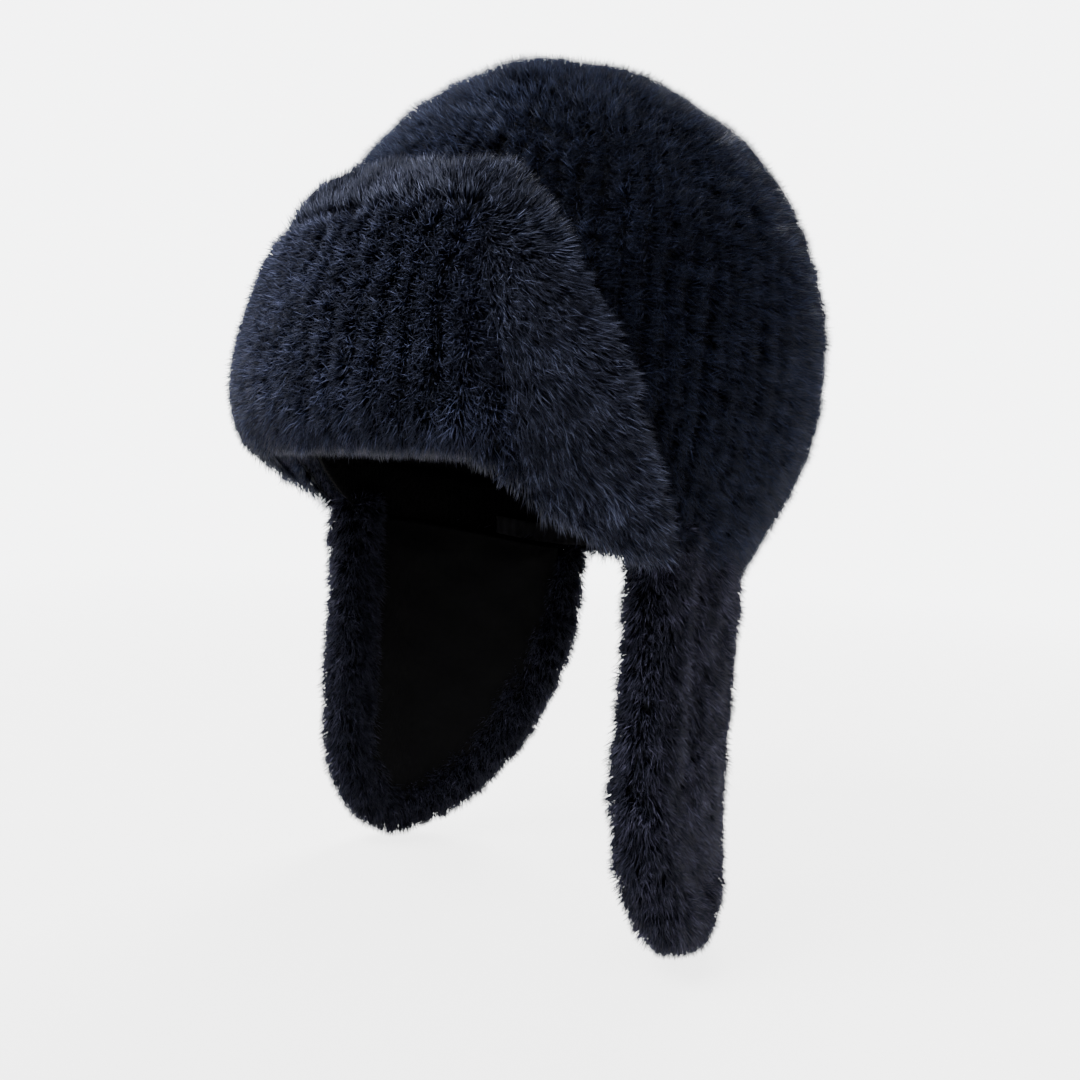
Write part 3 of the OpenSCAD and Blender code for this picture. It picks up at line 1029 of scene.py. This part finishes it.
def lining_gore(name, number, az_from, az_to):
    """One lining panel, slack between its seams."""
    def place(i, j, side):
        az = mix(az_from, az_to, i)
        edge = ease(np.minimum(i, 1 - i) * 16)
        low = hem_z(az) + 7 * MM
        z = low + (TOP_Z - 13.8 * MM - low) * sind(90 * j * APEX)
        p = on_crown(az, z, 0.0)
        folds = 0.5 * wobble(p * [1, 1, 0.45], 22 * MM, 70 + number)
        folds = folds + 0.25 * wobble(p, 9 * MM, 80 + number)
        off = LINING_OUTER - edge * (0.7 + 0.5 * folds) * MM
        return on_crown(az, z, off - side * LINING_T)

    return slab(f"lining_gore_{name}", 90, 50, place, satin)


def sweatband(i, j, side):
    """The knitted band inside the hem, ribbed on the face toward the head."""
    az = 360 * i - 180
    rib = 0.35 * MM * np.cos(2 * math.pi * i * 220)
    bulge = 0.8 * MM * np.sin(math.pi * j)
    half = SWEATBAND_HALF_T if side == 0 else -SWEATBAND_HALF_T
    off = SWEATBAND_MIDDLE - bulge + half - (rib if side else 0)
    return on_crown(az, hem_z(az) + 1 * MM + (SWEATBAND_H - 1 * MM) * j, off)


def elastic(i, j, side):
    """The tape round the nape, gathered along its length."""
    az = mix(120, 240, i)
    gather = 0.35 * MM * np.sin(2 * math.pi * i * 46)
    return on_crown(az, hem_z(az) + 3 * MM + 8 * MM * j, ELASTIC_OUTER + gather - side * ELASTIC_T)


def make_inside():
    quilt = slab("crown_wadding", 144, 36, padding, wadding, closed=True)
    dress(quilt, ride_crown, "wadding", "crown_padding")
    gores = {"front": (-45, 45), "left": (45, 135), "right": (-135, -45), "back": (135, 225)}
    for number, (name, ends) in enumerate(gores.items()):
        gore = lining_gore(name, number, *ends)
        dress(gore, ride_crown, "lining", f"lining_panel_{name}")
    band = slab("sweatband_knit", 880, 8, sweatband, knit, closed=True)
    dress(band, ride_crown, "knit", "sweatband")
    gathered = slab("rear_elastic_tape", 320, 6, elastic, tape)
    dress(gathered, ride_crown, "elastic", "rear_elastic")
    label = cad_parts["inner_label"]
    label.data.materials.clear()
    label.data.materials.append(woven_label)


# ---------------------------------------------------------------- stage

BACKDROP, AMBIENT = 6.5, 0.4  # brightness of the surroundings to the camera, and as a light
FLOOR_GLOW = 3.5
LIGHT_SIZE = 0.9


def make_floor(z):
    """A round pale floor that fades into the background."""
    material, tree, shader = new_material("floor")
    place = tree.nodes.new("ShaderNodeTexCoord").outputs["Object"]
    length = tree.nodes.new("ShaderNodeVectorMath")
    length.operation = "LENGTH"
    tree.links.new(place, length.inputs[0])
    fade = tree.nodes.new("ShaderNodeMapRange")
    fade.interpolation_type = "SMOOTHSTEP"
    for key, value in {"From Min": 0.35, "From Max": 1.4, "To Min": 1.0, "To Max": 0.0}.items():
        fade.inputs[key].default_value = value
    tree.links.new(length.outputs["Value"], fade.inputs["Value"])
    tree.links.new(fade.outputs["Result"], shader.inputs["Alpha"])
    grain = add_node(tree, "ShaderNodeTexNoise", Scale=35.0, Detail=4.0)
    tree.links.new(place, grain.inputs["Vector"])
    tone = ramp(tree, grain.outputs["Fac"], [(0.3, (0.78, 0.78, 0.77)), (0.7, (0.82, 0.82, 0.81))])
    tree.links.new(tone, shader.inputs["Base Color"])
    shader.inputs["Emission Color"].default_value = (1, 1, 1, 1)
    seen = tree.nodes.new("ShaderNodeLightPath").outputs["Is Camera Ray"]
    tree.links.new(maths(tree, "MULTIPLY", seen, FLOOR_GLOW), shader.inputs["Emission Strength"])
    shader.inputs["Roughness"].default_value = 0.8
    bpy.ops.mesh.primitive_circle_add(vertices=96, radius=1.5, fill_type="NGON", location=(0, 0, z))
    floor = bpy.context.object
    floor.name = "floor"
    floor.data.materials.append(material)


def add_light(name, place, target, energy):
    """A large soft lamp aimed at the target."""
    light = bpy.data.lights.new(name, "AREA")
    light.shape = "DISK"
    light.size = LIGHT_SIZE
    light.energy = energy
    obj = bpy.data.objects.new(name, light)
    bpy.context.collection.objects.link(obj)
    aim(obj, place, target)


def aim(obj, place, target):
    """Puts a light or camera at a place, facing the target."""
    place, target = np.array(place, float), np.array(target, float)
    obj.location = place
    obj.rotation_euler = Vector(target - place).to_track_quat("-Z", "Y").to_euler()


CAMERA_AZ, CAMERA_PITCH, CAMERA_ROLL = 45.5, 4.04, 2.4
CAMERA_DISTANCE, CAMERA_Z, CAMERA_SHIFT = 453 * MM, 42 * MM, 11.3 * MM


def make_camera():
    data = bpy.data.cameras.new("camera")
    data.lens = 37.73
    data.sensor_width = 36
    data.clip_start = 0.01
    camera = bpy.data.objects.new("camera", data)
    bpy.context.collection.objects.link(camera)
    right = np.array([cosd(CAMERA_AZ), sind(CAMERA_AZ), 0])
    place = np.array([sind(CAMERA_AZ), -cosd(CAMERA_AZ), 0]) * CAMERA_DISTANCE + right * CAMERA_SHIFT
    place[2] = CAMERA_Z
    ahead = np.array([-sind(CAMERA_AZ) * cosd(CAMERA_PITCH), cosd(CAMERA_AZ) * cosd(CAMERA_PITCH),
                      -sind(CAMERA_PITCH)])
    aim(camera, place, place + ahead)
    camera.rotation_euler.rotate_axis("Z", math.radians(CAMERA_ROLL))
    bpy.context.scene.camera = camera


def make_world():
    """Even pale surroundings, which look bright to the camera and light the hat weakly."""
    world = bpy.data.worlds.new("world")
    bpy.context.scene.world = world
    world.use_nodes = True
    tree = world.node_tree
    background = tree.nodes["Background"]
    background.inputs["Color"].default_value = (0.94, 0.95, 0.96, 1)
    seen = tree.nodes.new("ShaderNodeLightPath").outputs["Is Camera Ray"]
    strength = maths(tree, "ADD", maths(tree, "MULTIPLY", seen, BACKDROP - AMBIENT), AMBIENT)
    tree.links.new(strength, background.inputs["Strength"])


make_crown()
make_hem()
make_front_flap()
make_ears()
make_inside()

low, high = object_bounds()
make_floor(low[2] - 0.5 * MM)
make_world()
make_camera()
centre = (0, 0, 60 * MM)
add_light("key", (-0.2, -1.05, 1.25), centre, 31)
add_light("fill", (-1.2, -0.3, 0.5), centre, 8)
add_light("rim", (-0.5, 1.0, 1.2), centre, 30)
add_light("side", (1.0, 0.8, 0.5), centre, 4)
